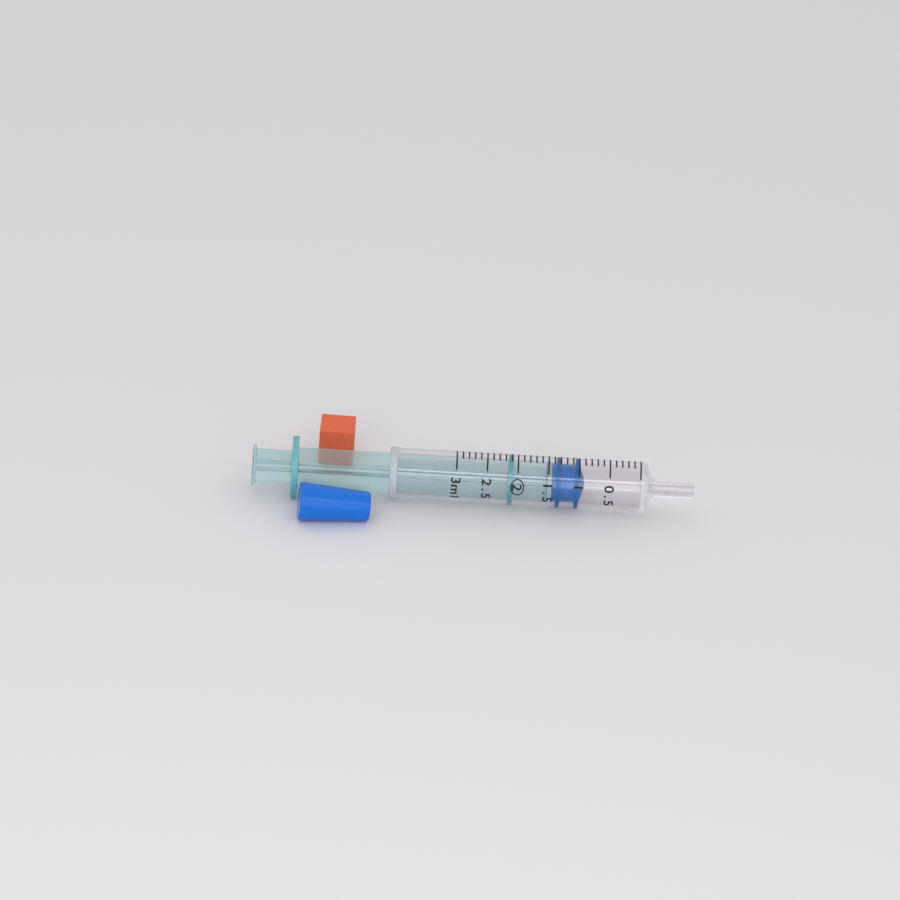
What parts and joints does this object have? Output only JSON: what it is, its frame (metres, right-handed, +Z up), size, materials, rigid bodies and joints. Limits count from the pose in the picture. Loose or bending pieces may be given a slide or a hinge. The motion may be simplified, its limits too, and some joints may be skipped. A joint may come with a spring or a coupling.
{
  "type": "blood gas syringe",
  "caption": "Clear graduated syringe with a slip tip, a ribbed teal plunger with a grip disc and a blue piston, a blue cap and a rubber needle block.",
  "frame": {"origin": "middle of the lower flat of the plunger's grip disc, on which the syringe rests", "axes": "+X along the barrel towards the Luer tip, +Z up, +Y away from the tip cap's side"},
  "size_m": [0.0996, 0.0353, 0.0127],
  "materials": {
    "clear_barrel": "clear moulded plastic, polished",
    "teal_rod": "translucent moulded plastic, satin",
    "blue_elastomer": "smooth elastomer",
    "blue_cap": "moulded plastic, gloss",
    "orange_rubber": "matt cut rubber"
  },
  "bodies": {
    "syringe": {"barrel": "clear_barrel", "tip_cap": "blue_cap", "needle_block": "orange_rubber"},
    "plunger": {"plunger_rod": "teal_rod", "piston": "blue_elastomer"}
  },
  "joints": [
    {"name": "plunger_slide", "type": "slide", "parent": "syringe", "child": "plunger", "axis": [1, 0, 0], "range_m": [-0.0276, 0.0138]}
  ]
}
